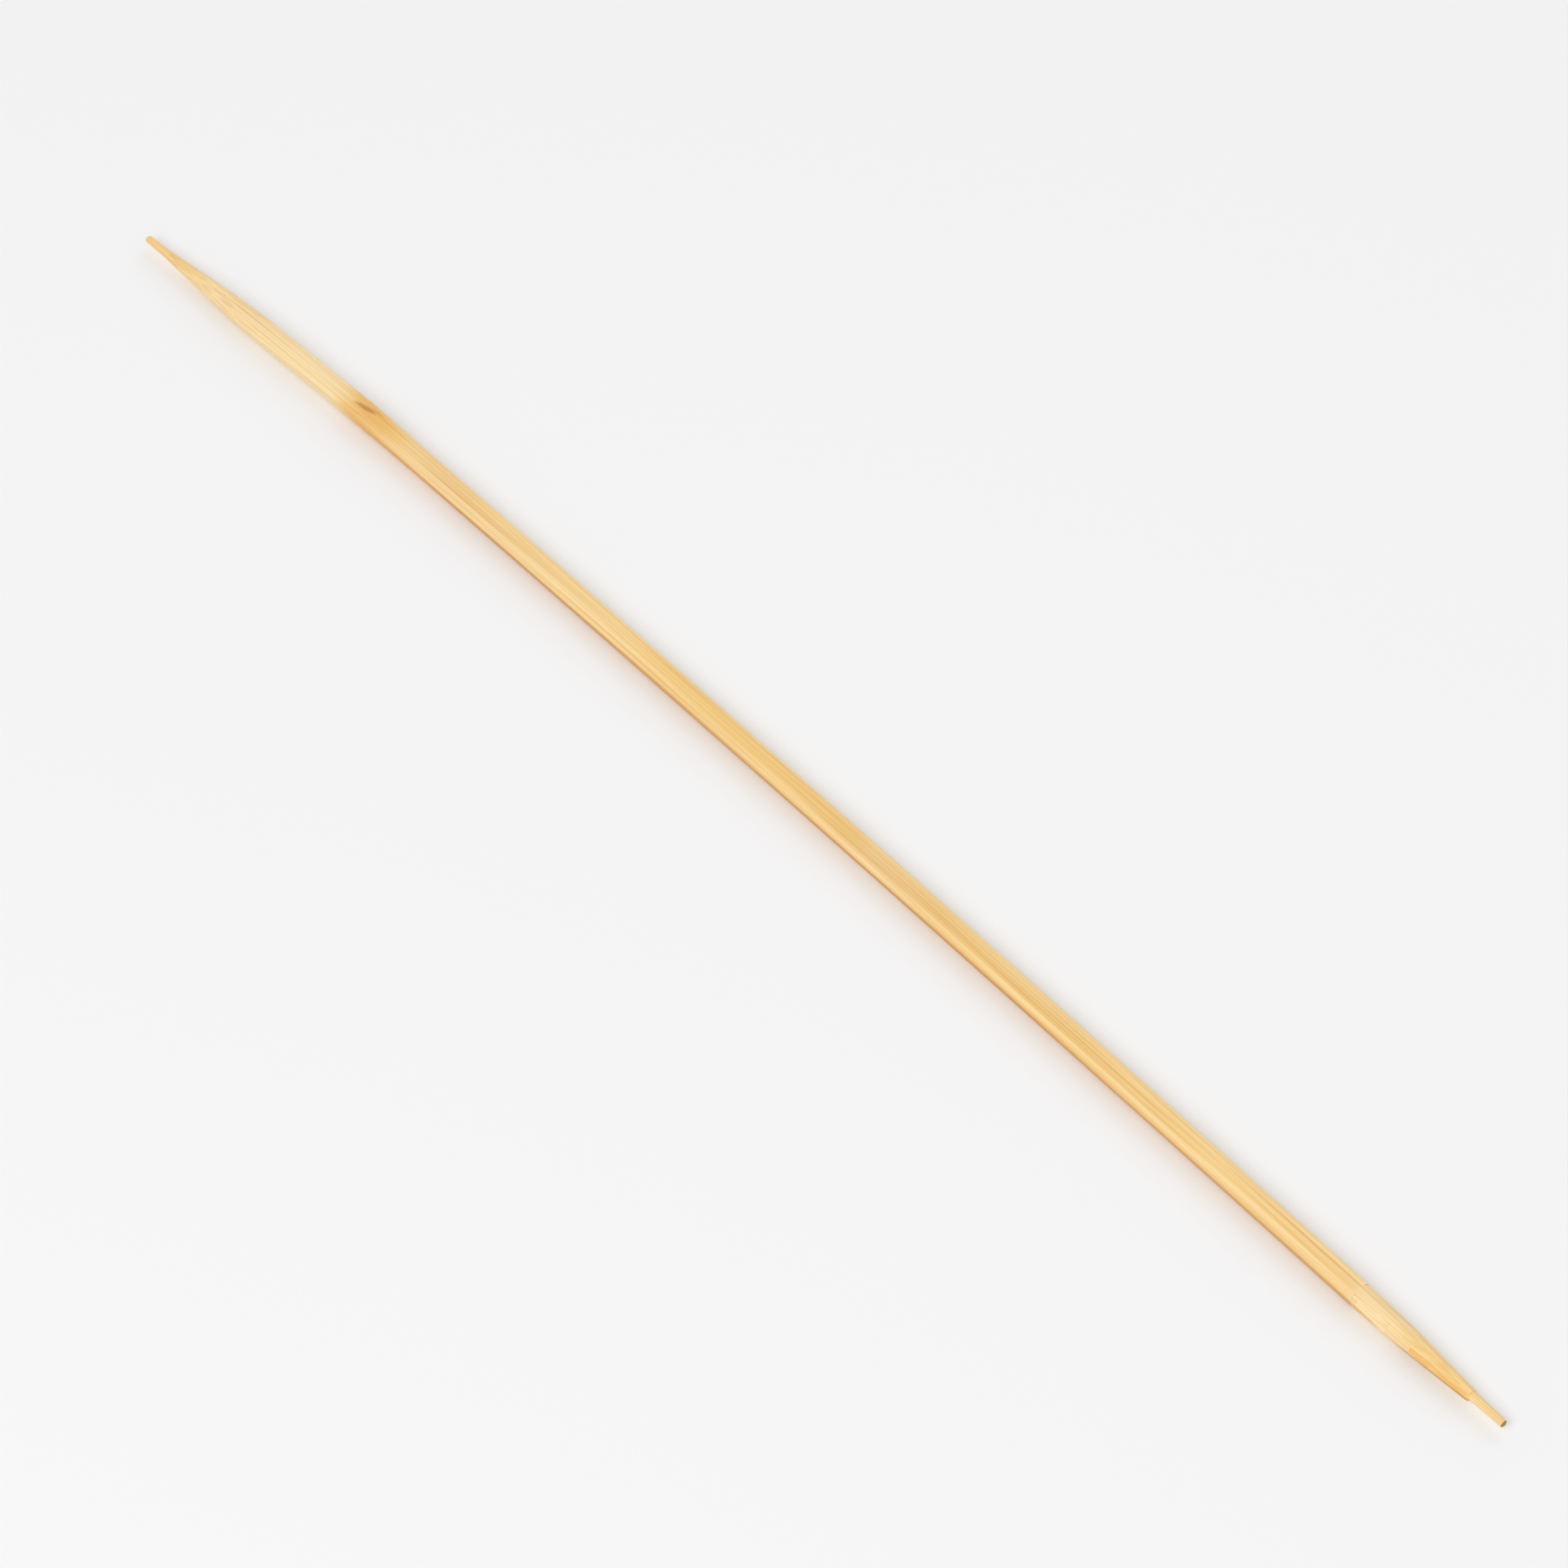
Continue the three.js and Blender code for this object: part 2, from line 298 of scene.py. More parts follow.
def groove_depth(along, turn):
    """Open grooves where a fibre bundle has lifted out: a bell across, faded in and out along."""
    depth = np.zeros(np.broadcast(along, turn).shape)
    half_angle = GROOVE_HALF_WIDTH / UNDERSIDE_REACH
    for facing, start, end, deep in GROOVES:
        place = math.radians(facing)
        wander = GROOVE_WANDER * np.sin(GROOVE_WANDER_RATE * along + place)
        across = (turn - place - wander + np.pi) % (2 * np.pi) - np.pi
        fade = eased((along - start * MM) / GROOVE_FADE) * eased((end * MM - along) / GROOVE_FADE)
        depth = np.maximum(depth, deep * fade * np.exp(-((across / half_angle) ** 2)))
    return depth


def stations():
    """Places along the stick, close together at the points and the knuckle: equal steps of the
    summed density, which is one over the wanted step. Each crisp edge has a place close before it
    and one close after it."""
    fine = np.linspace(0, LENGTH, DENSITY_SAMPLES)
    step = np.full_like(fine, SHANK_STEP)
    step[np.abs(fine - KNUCKLE_PLACE) < 2 * KNUCKLE_HALF_WIDTH] = KNUCKLE_STEP
    step[fine < FAR_POINT["shoulder"] + FAR_MARGIN] = FAR_STEP
    step[fine > LENGTH - NEAR_POINT["shoulder"] - NEAR_MARGIN] = NEAR_STEP
    summed = np.concatenate([[0], np.cumsum(np.diff(fine) / step[1:])])
    even = np.interp(np.linspace(0, summed[-1], int(summed[-1])), summed, fine)
    chamfer = np.array([0, 0.5, 1]) * TIP_CHAMFER
    from_near = np.array([
        NEAR_POINT["cone_lengths"][0], NEAR_POINT["shoulder"],
        SHOULDER_FLAT["start"], SHOULDER_FLAT["stop"], POINT_FLAT["start"],
        LENGTH - FAR_POINT["cone_lengths"][0],
    ])
    crisp = LENGTH - np.concatenate([from_near - STEP_WIDTH / 2, from_near + STEP_WIDTH / 2])
    clear = np.abs(even[:, None] - crisp).min(1) > 2 * STEP_WIDTH
    return np.unique(np.round([*even[clear], *chamfer, *(LENGTH - chamfer), *crisp], 9))


def capped(rows, shares):
    """Rows with the closing rings of both end faces added before the first and after the last."""
    first = [rows[0] * share for share in shares]
    last = [rows[-1] * share for share in reversed(shares)]
    return np.stack([*first, *rows, *last])


def wood_points():
    """Vertices of the fine stick as rows of rings, and what the look needs at each: grain
    coordinates, which run along the straightened stick from the pith line, and the masks. A vertex
    lies at the bare wood's reach plus its relief, grown at the knuckle and moved to the bowed line."""
    rng = np.random.default_rng(FIBRE_SEED)
    along = stations()[:, None]
    turn = np.linspace(0, 2 * np.pi, TURNS, endpoint=False)[None, :]
    bare, masks = wood_reach(along, turn)
    split = 1 - masks["cut"]
    masks["groove"] = groove_depth(along, turn) * split
    low, high = UNDERSIDE_FADE
    downwards = -bare * np.sin(turn) / UNDERSIDE_REACH
    relief = fibre_relief(along, turn, rng) * (CUT_RELIEF + (1 - CUT_RELIEF) * split)
    relief = relief - GROOVE_DEPTH * masks["groove"] + knuckle_ring(along, turn)
    reach = capped(bare + relief * (1 - eased((downwards - low) / (high - low))), END_RINGS)
    growth = knuckle_growth(along)
    sides = bare * np.cos(turn) * growth + bow(along)
    shift = MIDDLE.y - (sides.min() + sides.max()) / 2
    extra = ((len(END_RINGS), len(END_RINGS)), (0, 0))
    masks = {name: np.pad(mask, extra, mode="edge") for name, mask in masks.items()}
    along, growth = np.pad(along, extra, mode="edge"), np.pad(growth, extra, mode="edge")
    full = np.broadcast_to(along, reach.shape)
    across, height = reach * np.cos(turn), reach * np.sin(turn)
    grain = np.stack([full, across, height], -1)
    place = np.stack([full, across * growth + bow(along), (height + UNDERSIDE_REACH) * growth], -1)
    return place + np.array([NODE_LOW.x, shift, NODE_LOW.z]), grain, masks


def closed_faces(rows):
    """Quads between the rings, looking outwards, and a fan round the middle of each end face."""
    row, column = np.meshgrid(np.arange(rows - 1), np.arange(TURNS), indexing="ij")
    following = (column + 1) % TURNS
    near, far = row * TURNS, (row + 1) * TURNS
    quads = np.stack([near + column, near + following, far + following, far + column], -1)
    around = np.arange(TURNS)
    ahead = (around + 1) % TURNS
    last = (rows - 1) * TURNS
    first_fan = np.stack([np.full(TURNS, rows * TURNS), ahead, around], -1)
    last_fan = np.stack([np.full(TURNS, rows * TURNS + 1), last + around, last + ahead], -1)
    return quads.reshape(-1, 4), np.concatenate([first_fan, last_fan])


def bake_map(rows, quads):
    """Flat map of the wood for baking. Its length, counted in steps from the middle of the first end
    face to that of the last, is cut into strips of equal numbers of steps, which lie side by side,
    each as long as a cell of the map and the girth wide."""
    per_strip = math.ceil((rows + 1) / (MAP_COLUMNS * MAP_ROWS))

    def place(step, around, strip):
        """Places on the map of steps along the stick and shares of its girth, in one strip."""
        lengthwise = (step / per_strip - strip) * (1 - 2 * MAP_GAP * MAP_COLUMNS) + MAP_GAP * MAP_COLUMNS
        crosswise = (1 - around) * (1 - 2 * MAP_GAP * MAP_ROWS) + MAP_GAP * MAP_ROWS
        u = (strip % MAP_COLUMNS + lengthwise) / MAP_COLUMNS
        v = (strip // MAP_COLUMNS + crosswise) / MAP_ROWS
        return np.stack(np.broadcast_arrays(u, v), -1).reshape(-1, 2)

    step = quads // TURNS + 1
    column = quads[:, 0] % TURNS
    around = np.stack([column, column + 1, column + 1, column], -1) / TURNS
    sides = place(step, around, (step.min(1) // per_strip)[:, None])
    turn = np.arange(TURNS) / TURNS
    ahead = turn + 1 / TURNS
    middle = (turn + ahead) / 2
    first = place(np.array([0, 1, 1]), np.stack([middle, ahead, turn], -1), 0)
    last = place(rows + np.array([1, 0, 0]), np.stack([middle, turn, ahead], -1), rows // per_strip)
    return np.concatenate([sides, first, last])


def store(layer, name, values):
    """Writes an array into a layer of a mesh."""
    layer.data.foreach_set(name, values.astype(np.float32).ravel())


def make_wood():
    """The fine stick as one closed mesh, with its map, its grain coordinates and its masks. The two
    vertices after the rings are the middles of the end faces."""
    place, grain, masks = wood_points()
    rows = len(place)
    quads, fans = closed_faces(rows)
    points = np.concatenate([place.reshape(-1, 3), [place[0].mean(0), place[-1].mean(0)]])
    mesh = bpy.data.meshes.new("bamboo_wood")
    mesh.from_pydata(points.tolist(), [], quads.tolist() + fans.tolist())
    whole_grain = np.concatenate([grain.reshape(-1, 3), [[0, 0, 0], [LENGTH, 0, 0]]])
    store(mesh.attributes.new("grain", "FLOAT_VECTOR", "POINT"), "vector", whole_grain)
    for name, mask in masks.items():
        whole_mask = np.append(mask.ravel(), [mask[0, 0], mask[-1, 0]])
        store(mesh.attributes.new(name, "FLOAT", "POINT"), "value", whole_mask)
    store(mesh.uv_layers.new(name="OFBake"), "uv", bake_map(rows, quads))
    mesh.shade_smooth()
    mesh.set_sharp_from_angle(angle=SHARP_ANGLE)
    mesh.update()
    wood = bpy.data.objects.new("bamboo_wood", mesh)
    bpy.context.scene.collection.objects.link(wood)
    return wood


# Materials

def srgb(red, green, blue):
    """Linear colour of 0 to 255 screen values."""
    share = np.array([red, green, blue]) / 255
    linear = np.where(share <= 0.04045, share / 12.92, ((share + 0.055) / 1.055) ** 2.4)
    return (*linear.tolist(), 1)


SHANK_TAN = srgb(242, 202, 122)
SHOULDER_CREAM = srgb(252, 226, 177)
SKIN_AMBER = srgb(222, 154, 58)
STRAND_BROWN = srgb(206, 146, 72)
# Pale colour of the painted highlights on the top face's edges and along the point flat's rim
HIGHLIGHT_PALE = srgb(255, 226, 166)
KNUCKLE_ORANGE = srgb(232, 176, 90)
KNUCKLE_BROWN = srgb(172, 110, 30)
TIP_ORANGE = srgb(244, 194, 116)
FLAT_ORANGE = srgb(244, 186, 98)
# Colour of the painted shade on the lower part of the front face
SHADE_OCHRE = srgb(190, 136, 52)
END_OLIVE = srgb(146, 112, 54)
FLOOR_WHITE = srgb(246, 246, 247)

# How much each layer of colour covers what lies below it
COVER = {
    "tone": 0.35, "skin": 0.85, "front_highlight": 0.35, "back_highlight": 0.6, "knuckle": 0.65, "patch": 0.7,
    "tip": 0.4, "shoulder_flat": 0.8, "point_flat": 0.5, "flat_rim_highlight": 0.6, "under_shank_shade": 0.5,
    "under_point_shade": 0.8, "flat_stop_shade": 0.5, "strand": 0.45, "streak": 0.3, "groove": 0.45, "end": 0.85,
}
# How much of the skin's amber and the tip's orange the pale broad tone takes away
SKIN_THINNED = 0.3 / COVER["skin"]
TIP_THINNED = 0.6

# How pale the wood is along the stick: places in mm from the far tip, each with a share of cream
PALENESS = [
    (0, 0.35), (6, 0.35), (10.5, 0.75), (30.5, 0.9), (33.5, 0.1), (38, 0.1), (42.6, 0.45), (74.6, 0.35),
    (81, 0.1), (110, 0.1), (113, 0.45), (118, 0.4), (123, 0.1), (155, 0.15), (160, 0.25), (180.5, 0.2),
    (181.2, 0.75), (185.5, 0.7), (188, 0.4), (189, 0.15), (194.5, 0.15), (195.9, 0.5), (200, 0.5),
]
# Where colours set in or die away along the stick, from none to full, in mm from the far tip
SPANS = {
    "skin": (31, 41), "knuckle_in": (32.5, 35.5), "knuckle_out": (43, 36.5), "tip": (9, 3),
    "shank_in": (44, 52), "shank_out": (181.2, 180.8), "point_in": (188, 191), "point_out": (195.9, 195.6),
    "far_end": (0.12, 0.03), "near_end": (199.88, 199.97),
}
# Skin side, and the painted highlights along the edges on both sides of the top face: the way that
# each looks, and the reaches that way between which its colour sets in
SKIN = (math.radians(203), 0.99 * MM, 1.2 * MM)
FRONT_HIGHLIGHT = (math.radians(133), 1.24 * MM, 1.31 * MM)
BACK_HIGHLIGHT = (math.radians(58), 1.33 * MM, 1.37 * MM)
# Painted shade on the lower part of the front face, where it turns down: the way that it looks, and
# the cosines of the angle to that way between which its colour sets in
UNDER_SHADE = (math.radians(206), 0.88, 0.98)
# Values of the mesh's cut mask between which the skin sets in
SKIN_UNCUT = (0.6, 0.0)
# Knuckle patch: its middle and half sizes in grain coordinates, its slant, how ragged it is, and the
# distances from its middle, in half sizes, between which it sets in
PATCH_PLACE = (35.1 * MM, -0.04 * MM, 1.22 * MM)
PATCH_SIZE = (1.2 * MM, 0.42 * MM, 0.6 * MM)
PATCH_SLANT = 3
PATCH_RAGGED = 0.5
PATCH_SPAN = (1.4, 0.6)
# Distances from the end of a knife's cut between which the painted shade line at its step sets in
STOP_SHADE_SPAN = (0.12 * MM, 0.04 * MM)
# How far the fibres carry a change of colour along the stick
RAGGED_LENGTH = 2.5 * MM
# Fibre pattern: the length and width of each part, the detail of its noise, and the values between
# which it sets in. The strands are cells, whose values are the distances from their middles.
STRANDS = {"size": (50 * MM, 0.5 * MM), "span": (0.32, 0.1)}
BREAKS = {"size": (30 * MM, 0.7 * MM), "detail": 1.0, "span": (0.42, 0.56)}
STREAKS = {"size": (18 * MM, 0.15 * MM), "detail": 3.0, "span": (0.36, 0.64)}
TONE = {"size": (40 * MM, 0.8 * MM), "detail": 2.0, "span": (0.35, 0.65)}

# Finish of the wood
ROUGHNESS = 0.46
STREAK_ROUGHNESS = 0.14
CUT_ROUGHNESS = 0.12
STREAK_BUMP = 0.5
BUMP_STRENGTH = 0.6
BUMP_DISTANCE = 0.012 * MM
SUBSURFACE_WEIGHT = 0.12
SUBSURFACE_RADIUS = (1.0, 0.6, 0.3)
SUBSURFACE_SCALE = 0.5 * MM


def add(tree, kind, inputs=None, **settings):
    """A node with its settings made and each named or numbered input linked or filled."""
    node = tree.nodes.new(kind)
    for name, value in settings.items():
        setattr(node, name, value)
    for name, value in (inputs or {}).items():
        if isinstance(value, bpy.types.NodeSocket):
            tree.links.new(value, node.inputs[name])
        else:
            node.inputs[name].default_value = value
    return node


def maths(tree, operation, first, second=0.0):
    """Output of one Math node."""
    return add(tree, "ShaderNodeMath", {0: first, 1: second}, operation=operation).outputs[0]


def vector(tree, operation, first, second=(0, 0, 0)):
    """Vector output of one Vector Math node."""
    return add(tree, "ShaderNodeVectorMath", {0: first, 1: second}, operation=operation).outputs["Vector"]


def dot(tree, first, second):
    """Dot product of two vectors."""
    node = add(tree, "ShaderNodeVectorMath", {0: first, 1: second}, operation="DOT_PRODUCT")
    return node.outputs["Value"]


def ramp(tree, value, low, high):
    """Smooth 0 to 1 as value goes from low to high, or back if low is the higher."""
    inputs = {"Value": value, "From Min": low, "From Max": high, "To Min": 0.0, "To Max": 1.0}
    return add(tree, "ShaderNodeMapRange", inputs, interpolation_type="SMOOTHSTEP").outputs["Result"]


def mixed(tree, share, first, second):
    """Colour between first and second by share."""
    return add(tree, "ShaderNodeMix", {0: share, 6: first, 7: second}, data_type="RGBA").outputs[2]


def group(name, inputs, outputs):
    """A shader node group with named sockets, and its input and output nodes."""
    tree = bpy.data.node_groups.new(name, "ShaderNodeTree")
    for label, kind, value in inputs:
        socket = tree.interface.new_socket(name=label, in_out="INPUT", socket_type=kind)
        if value is not None:
            socket.default_value = value
    for label in outputs:
        tree.interface.new_socket(name=label, in_out="OUTPUT", socket_type="NodeSocketFloat")
    return tree, tree.nodes.new("NodeGroupInput").outputs, tree.nodes.new("NodeGroupOutput").inputs


def placed(tree, shared, inputs):
    """Outputs of one use of a shared group."""
    return add(tree, "ShaderNodeGroup", inputs, node_tree=shared).outputs


def scaled_grain(tree, grain, size):
    """Grain coordinates divided by a length along the stick and a width across it."""
    along, across = size
    return vector(tree, "MULTIPLY", grain, (1 / along, 1 / across, 1 / across))


def fibre_noise(tree, grain, part):
    """Smooth 0 to 1 of one part's noise, which is drawn out along the grain."""
    vectors = scaled_grain(tree, grain, part["size"])
    inputs = {"Vector": vectors, "Scale": 1.0, "Detail": part["detail"]}
    return ramp(tree, add(tree, "ShaderNodeTexNoise", inputs).outputs["Fac"], *part["span"])


def fibre_group():
    """Bamboo's fibres in the straightened wood. Strand is 1 in the dark bundles, which are long
    thin cells; Streak is the fine grain between them; Tone is broad and slow."""
    tree, given, out = group(
        "bamboo_fibre", [("Grain", "NodeSocketVector", None)], ("Strand", "Streak", "Tone")
    )
    grain = given["Grain"]
    inputs = {"Vector": scaled_grain(tree, grain, STRANDS["size"]), "Scale": 1.0, "Randomness": 1.0}
    cells = add(tree, "ShaderNodeTexVoronoi", inputs, feature="F1")
    bundle = ramp(tree, cells.outputs["Distance"], *STRANDS["span"])
    tree.links.new(maths(tree, "MULTIPLY", bundle, fibre_noise(tree, grain, BREAKS)), out["Strand"])
    tree.links.new(fibre_noise(tree, grain, STREAKS), out["Streak"])
    tree.links.new(fibre_noise(tree, grain, TONE), out["Tone"])
    return tree


def toward_group():
    """The wood that lies a given way from the pith line. Side goes by how far it reaches that way,
    and Facing by the cosine of its angle to that way, however thick the stick is there."""
    tree, given, out = group(
        "wood_toward",
        [
            ("Grain", "NodeSocketVector", None), ("Way", "NodeSocketVector", (0, 1, 0)),
            ("From", "NodeSocketFloat", 0.0), ("To", "NodeSocketFloat", 1.0),
        ],
        ("Side", "Facing"),
    )
    outward = vector(tree, "NORMALIZE", vector(tree, "MULTIPLY", given["Grain"], (0, 1, 1)))
    for label, direction in (("Side", given["Grain"]), ("Facing", outward)):
        toward = dot(tree, direction, given["Way"])
        tree.links.new(ramp(tree, toward, given["From"], given["To"]), out[label])
    return tree


def spot_group():
    """1 inside a long slanted spot in grain coordinates, with a ragged edge."""
    tree, given, out = group(
        "grain_spot",
        [
            ("Grain", "NodeSocketVector", None), ("Place", "NodeSocketVector", (0, 0, 0)),
            ("Size", "NodeSocketVector", (1, 1, 1)), ("Slant", "NodeSocketFloat", 0.0),
            ("Ragged", "NodeSocketFloat", 0.0),
        ],
        ("Spot",),
    )
    away = vector(tree, "SUBTRACT", given["Grain"], given["Place"])
    parts = add(tree, "ShaderNodeSeparateXYZ", {0: away}).outputs
    slid = maths(tree, "SUBTRACT", parts["X"], maths(tree, "MULTIPLY", parts["Y"], given["Slant"]))
    turned = add(tree, "ShaderNodeCombineXYZ", {"X": slid, "Y": parts["Y"], "Z": parts["Z"]}).outputs[0]
    share = vector(tree, "DIVIDE", turned, given["Size"])
    length = add(tree, "ShaderNodeVectorMath", {0: share}, operation="LENGTH").outputs["Value"]
    tree.links.new(ramp(tree, maths(tree, "ADD", length, given["Ragged"]), *PATCH_SPAN), out["Spot"])
    return tree


def paleness(tree, along):
    """Share of cream along the stick, as a ramp through the listed places."""
    share = add(tree, "ShaderNodeMapRange", {"Value": along, "From Min": 0.0, "From Max": LENGTH})
    curve = add(tree, "ShaderNodeValToRGB", {"Fac": share.outputs["Result"]})
    stops = curve.color_ramp.elements
    for index, (place, pale) in enumerate(PALENESS):
        stop = stops[index] if index < 2 else stops.new(1.0)
        stop.position = place * MM / LENGTH
        stop.color = (pale, pale, pale, 1)
    return curve.outputs["Color"]


class WoodPaint:
    """The wood's node tree while it is painted: what it reads off the mesh, and its colour so far."""

    def __init__(self, tree):
        self.tree = tree
        self.grain = add(tree, "ShaderNodeAttribute", attribute_name="grain").outputs["Vector"]
        self.along = add(tree, "ShaderNodeSeparateXYZ", {0: self.grain}).outputs["X"]
        self.fibre = placed(tree, fibre_group(), {"Grain": self.grain})
        self.ragged = maths(tree, "ADD", self.along, self.times(self.fibre["Tone"], RAGGED_LENGTH))
        self.sides = toward_group()
        self.colour = mixed(tree, paleness(tree, self.along), SHANK_TAN, SHOULDER_CREAM)

    def mask(self, name):
        """One of the mesh's masks."""
        return add(self.tree, "ShaderNodeAttribute", attribute_name=name).outputs["Fac"]

    def times(self, first, second):
        """Product of two masks, or of a mask and a number."""
        return maths(self.tree, "MULTIPLY", first, second)

    def without(self, mask, share=1.0):
        """1 where the mask is 0, less by the share where it is 1."""
        return maths(self.tree, "SUBTRACT", 1.0, self.times(mask, share))

    def span(self, name, ragged=True):
        """0 to 1 over a named span along the stick. The edge of a ragged one follows the fibres."""
        low, high = SPANS[name]
        return ramp(self.tree, self.ragged if ragged else self.along, low * MM, high * MM)

    def toward(self, output, place):
        """Side or Facing of a named place round the section."""
        angle, low, high = place
        way = (0, math.cos(angle), math.sin(angle))
        given = {"Grain": self.grain, "Way": way, "From": low, "To": high}
        return placed(self.tree, self.sides, given)[output]

    def cover(self, layer, mask, colour):
        """Lays a colour over the wood where the mask is 1, as much as the layer covers."""
        self.colour = mixed(self.tree, self.times(mask, COVER[layer]), self.colour, colour)


def paint_shank(paint):
    """Broad tone, the amber skin side and painted highlights along both edges of the top face."""
    tone = paint.fibre["Tone"]
    paint.cover("tone", tone, SHOULDER_CREAM)
    skin = paint.times(paint.toward("Side", SKIN), paint.span("skin"))
    skin = paint.times(skin, ramp(paint.tree, paint.mask("cut"), *SKIN_UNCUT))
    paint.cover("skin", paint.times(skin, paint.without(tone, SKIN_THINNED)), SKIN_AMBER)
    # Painted highlights along both edges of the top face
    paint.cover("front_highlight", paint.toward("Side", FRONT_HIGHLIGHT), HIGHLIGHT_PALE)
    paint.cover("back_highlight", paint.toward("Side", BACK_HIGHLIGHT), HIGHLIGHT_PALE)


def paint_knuckle(paint):
    """Orange band at the knuckle, with one dark patch."""
    paint.cover("knuckle", paint.times(paint.span("knuckle_in"), paint.span("knuckle_out")), KNUCKLE_ORANGE)
    given = {
        "Grain": paint.grain, "Place": PATCH_PLACE, "Size": PATCH_SIZE, "Slant": PATCH_SLANT,
        "Ragged": paint.times(paint.fibre["Streak"], PATCH_RAGGED),
    }
    paint.cover("patch", placed(paint.tree, spot_group(), given)["Spot"], KNUCKLE_BROWN)


def paint_points(paint):
    """Orange tip, the two knife flats, painted shade on the lower part of the front face, and a painted
    shade line at the step where the shoulder flat stops. The painted highlight along the point flat's
    rim is where its mask is half way: four times the mask times what it lacks of 1."""
    tip = paint.span("tip", ragged=False)
    paint.cover("tip", paint.times(tip, paint.without(paint.fibre["Tone"], TIP_THINNED)), TIP_ORANGE)
    shoulder_flat, point_flat = paint.mask("shoulder_flat"), paint.mask("point_flat")
    paint.cover("shoulder_flat", shoulder_flat, SHOULDER_CREAM)
    paint.cover("point_flat", point_flat, FLAT_ORANGE)
    # Painted highlight along the point flat's rim
    rim_highlight = paint.times(paint.times(point_flat, paint.without(point_flat)), 4.0)
    paint.cover("flat_rim_highlight", rim_highlight, HIGHLIGHT_PALE)
    # Painted shade where the front face turns down
    under = paint.toward("Facing", UNDER_SHADE)
    shank = paint.times(paint.span("shank_in"), paint.span("shank_out", ragged=False))
    point = paint.times(paint.span("point_in"), paint.span("point_out", ragged=False))
    paint.cover("under_shank_shade", paint.times(under, shank), SHADE_OCHRE)
    paint.cover("under_point_shade", paint.times(under, point), SHADE_OCHRE)
    # Painted shade line at the step where the shoulder flat stops
    away = maths(paint.tree, "SUBTRACT", paint.along, LENGTH - SHOULDER_FLAT["stop"])
    line = ramp(paint.tree, maths(paint.tree, "ABSOLUTE", away), *STOP_SHADE_SPAN)
    paint.cover("flat_stop_shade", paint.times(shoulder_flat, line), STRAND_BROWN)


def paint_fibres(paint):
    """Brown strands, fine streaks, open grooves and the dark end faces."""
    paint.cover("strand", paint.fibre["Strand"], STRAND_BROWN)
    paint.cover("streak", paint.fibre["Streak"], STRAND_BROWN)
    paint.cover("groove", paint.mask("groove"), STRAND_BROWN)
    far, near = paint.span("far_end", ragged=False), paint.span("near_end", ragged=False)
    paint.cover("end", maths(paint.tree, "MAXIMUM", far, near), END_OLIVE)


def bamboo_material():
    """Bare split bamboo: tan, amber on the skin side, cream where it is cut, with brown strands. It
    is rougher in its streaks and where it is cut, and the strands are a little sunk."""
    material = bpy.data.materials.new("bamboo")
    material.use_nodes = True
    tree = material.node_tree
    shader = tree.nodes["Principled BSDF"].inputs
    paint = WoodPaint(tree)
    paint_shank(paint)
    paint_knuckle(paint)
    paint_points(paint)
    paint_fibres(paint)
    tree.links.new(paint.colour, shader["Base Color"])
    streak, strand = paint.fibre["Streak"], paint.fibre["Strand"]
    rough = maths(tree, "ADD", paint.times(streak, STREAK_ROUGHNESS), ROUGHNESS)
    rough = maths(tree, "ADD", rough, paint.times(paint.mask("cut"), CUT_ROUGHNESS))
    tree.links.new(rough, shader["Roughness"])
    height = maths(tree, "SUBTRACT", paint.times(streak, -STREAK_BUMP), strand)
    bump = {"Height": height, "Strength": BUMP_STRENGTH, "Distance": BUMP_DISTANCE}
    tree.links.new(add(tree, "ShaderNodeBump", bump).outputs["Normal"], shader["Normal"])
    shader["Subsurface Weight"].default_value = SUBSURFACE_WEIGHT
    shader["Subsurface Radius"].default_value = SUBSURFACE_RADIUS
    shader["Subsurface Scale"].default_value = SUBSURFACE_SCALE
    return material


def floor_material():
    """An even matt white."""
    material = bpy.data.materials.new("pale_floor")
    material.use_nodes = True
    shader = material.node_tree.nodes["Principled BSDF"].inputs
    shader["Base Color"].default_value = FLOOR_WHITE
    shader["Roughness"].default_value = FLOOR_ROUGHNESS
    return material


# Studio

def make_floor():
    """A wide pale floor at the stick's lowest point."""
    half, level = FLOOR_SIZE / 2, NODE_LOW.z
    corners = [(-half, -half, level), (half, -half, level), (half, half, level), (-half, half, level)]
    mesh = bpy.data.meshes.new("floor")
    mesh.from_pydata(corners, [], [(0, 1, 2, 3)])
    mesh.materials.append(floor_material())
    floor = bpy.data.objects.new("floor", mesh)
    bpy.context.scene.collection.objects.link(floor)


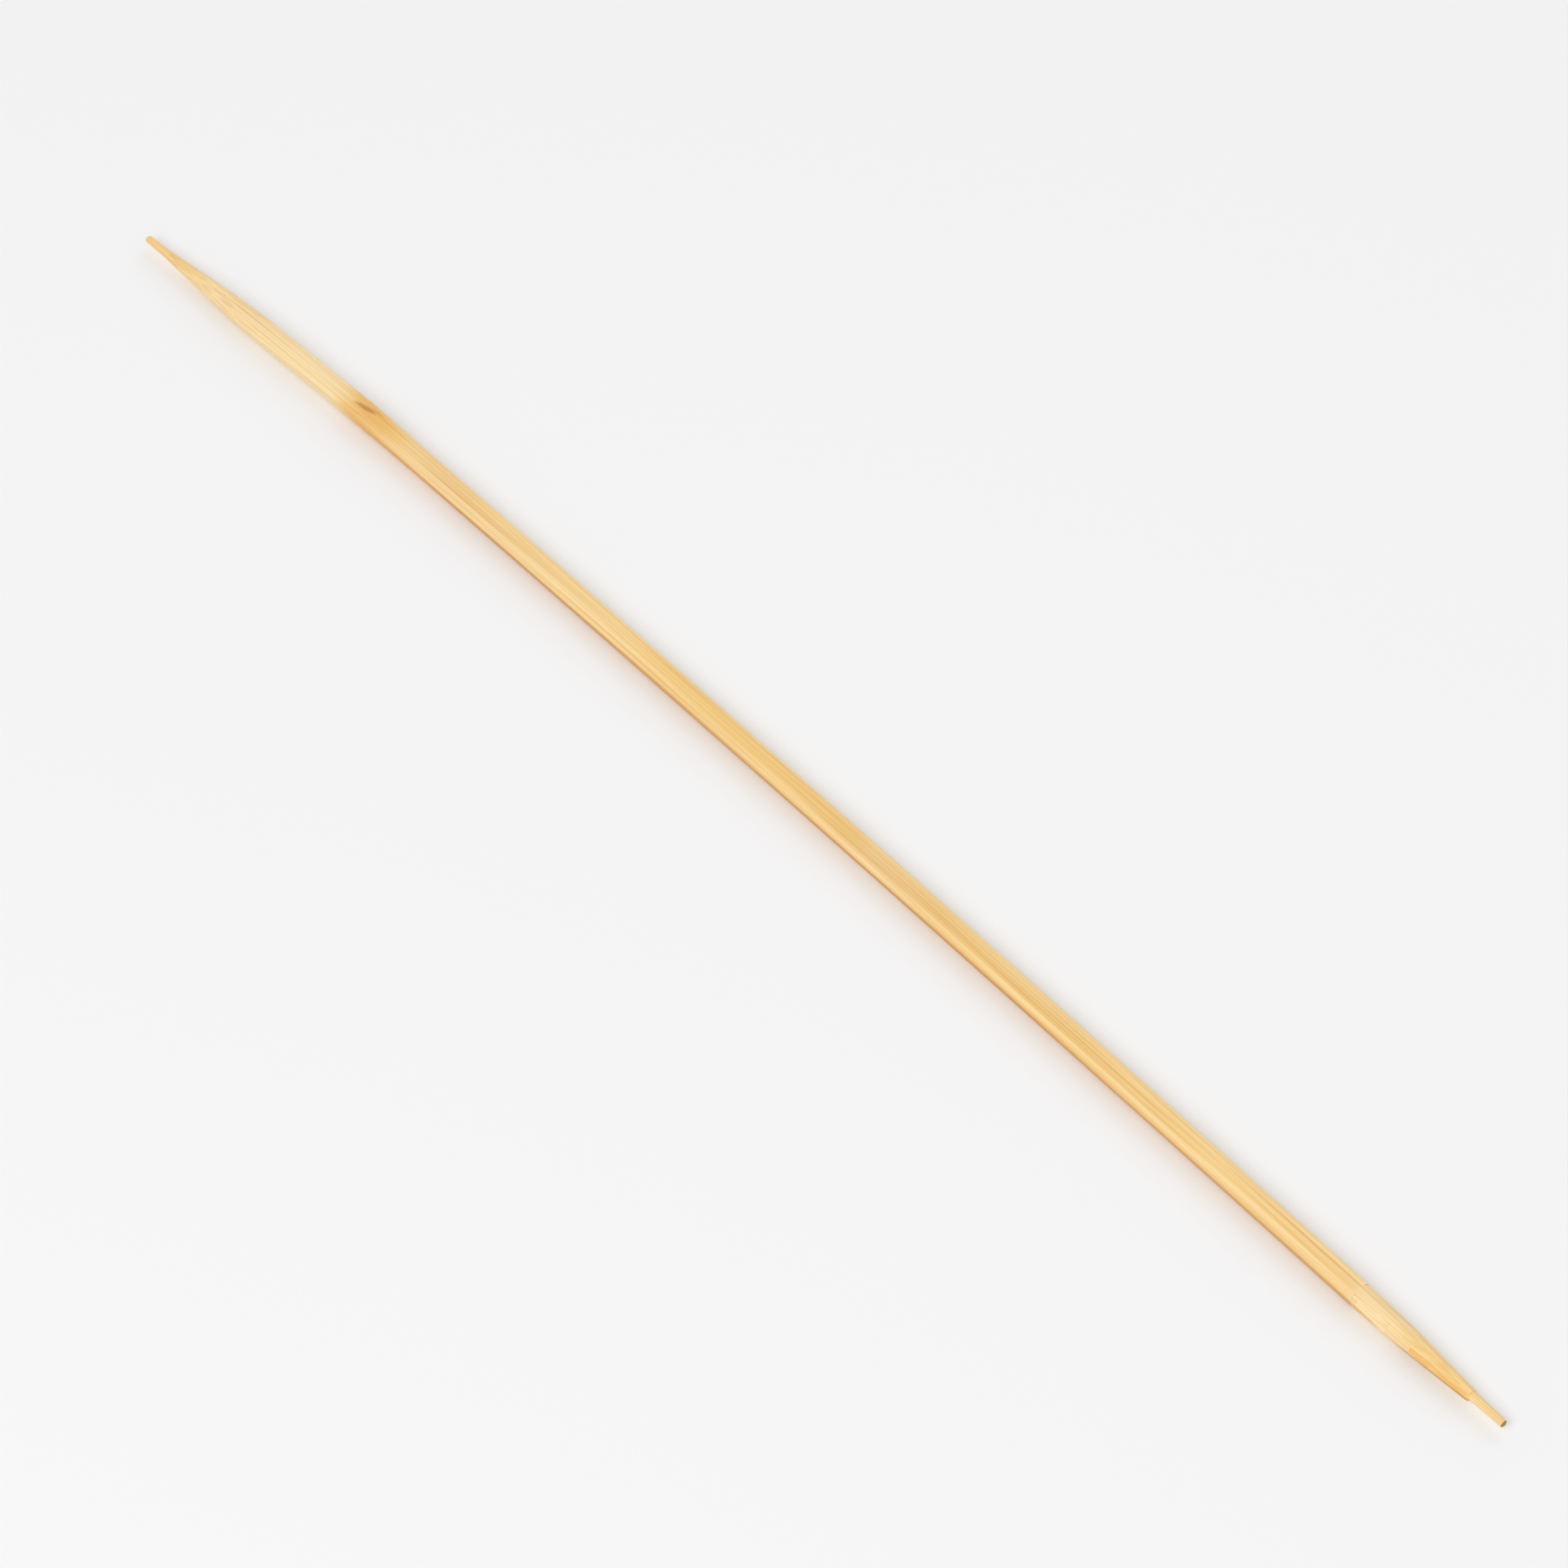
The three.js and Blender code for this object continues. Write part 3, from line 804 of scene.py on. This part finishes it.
def make_lamp(name, place, size, power):
    """A square soft box that looks at the stick's middle."""
    light = bpy.data.lights.new(name, "AREA")
    light.shape = "SQUARE"
    light.size = size
    light.energy = power
    lamp = bpy.data.objects.new(name, light)
    lamp.location = place
    lamp.rotation_mode = "QUATERNION"
    lamp.rotation_quaternion = (MIDDLE - place).to_track_quat("-Z", "Y")
    bpy.context.scene.collection.objects.link(lamp)


def make_world(strength):
    """Even white light of the given strength, and plain white behind whatever the camera sees."""
    world = bpy.data.worlds.new("studio")
    world.use_nodes = True
    tree = world.node_tree
    path = add(tree, "ShaderNodeLightPath").outputs
    seen = maths(tree, "MAXIMUM", path["Is Camera Ray"], path["Is Glossy Ray"])
    seen = maths(tree, "MAXIMUM", seen, path["Is Transmission Ray"])
    level = maths(tree, "ADD", maths(tree, "MULTIPLY", seen, 1 - strength), strength)
    tree.links.new(level, tree.nodes["Background"].inputs["Strength"])
    tree.nodes["Background"].inputs["Color"].default_value = (1, 1, 1, 1)
    bpy.context.scene.world = world


def make_camera():
    """Looks down on the stick's middle from the photograph's side, the stick filling the frame."""
    level = math.cos(ELEVATION)
    back = Vector((math.sin(AZIMUTH) * level, -math.cos(AZIMUTH) * level, math.sin(ELEVATION)))
    data = bpy.data.cameras.new("camera")
    data.lens = data.sensor_width * FRAME_SHARE * CAMERA_DISTANCE / (LENGTH * math.cos(AZIMUTH))
    data.clip_start = CLIP_START
    camera = bpy.data.objects.new("camera", data)
    camera.location = MIDDLE + back * CAMERA_DISTANCE
    camera.rotation_mode = "QUATERNION"
    camera.rotation_quaternion = (-back).to_track_quat("-Z", "Y")
    bpy.context.scene.collection.objects.link(camera)
    bpy.context.scene.camera = camera


def main():
    """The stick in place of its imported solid, and the studio round it."""
    make_camera()
    wood = make_wood()
    wood.data.materials.append(bamboo_material())
    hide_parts(NODE)
    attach(wood, "root")
    make_floor()
    make_world(WORLD_LEVEL)
    make_lamp("key", KEY_PLACE, KEY_SIZE, KEY_POWER)
    make_lamp("back", BACK_PLACE, BACK_SIZE, BACK_POWER)
    bpy.context.scene.view_settings.view_transform = "Standard"


main()
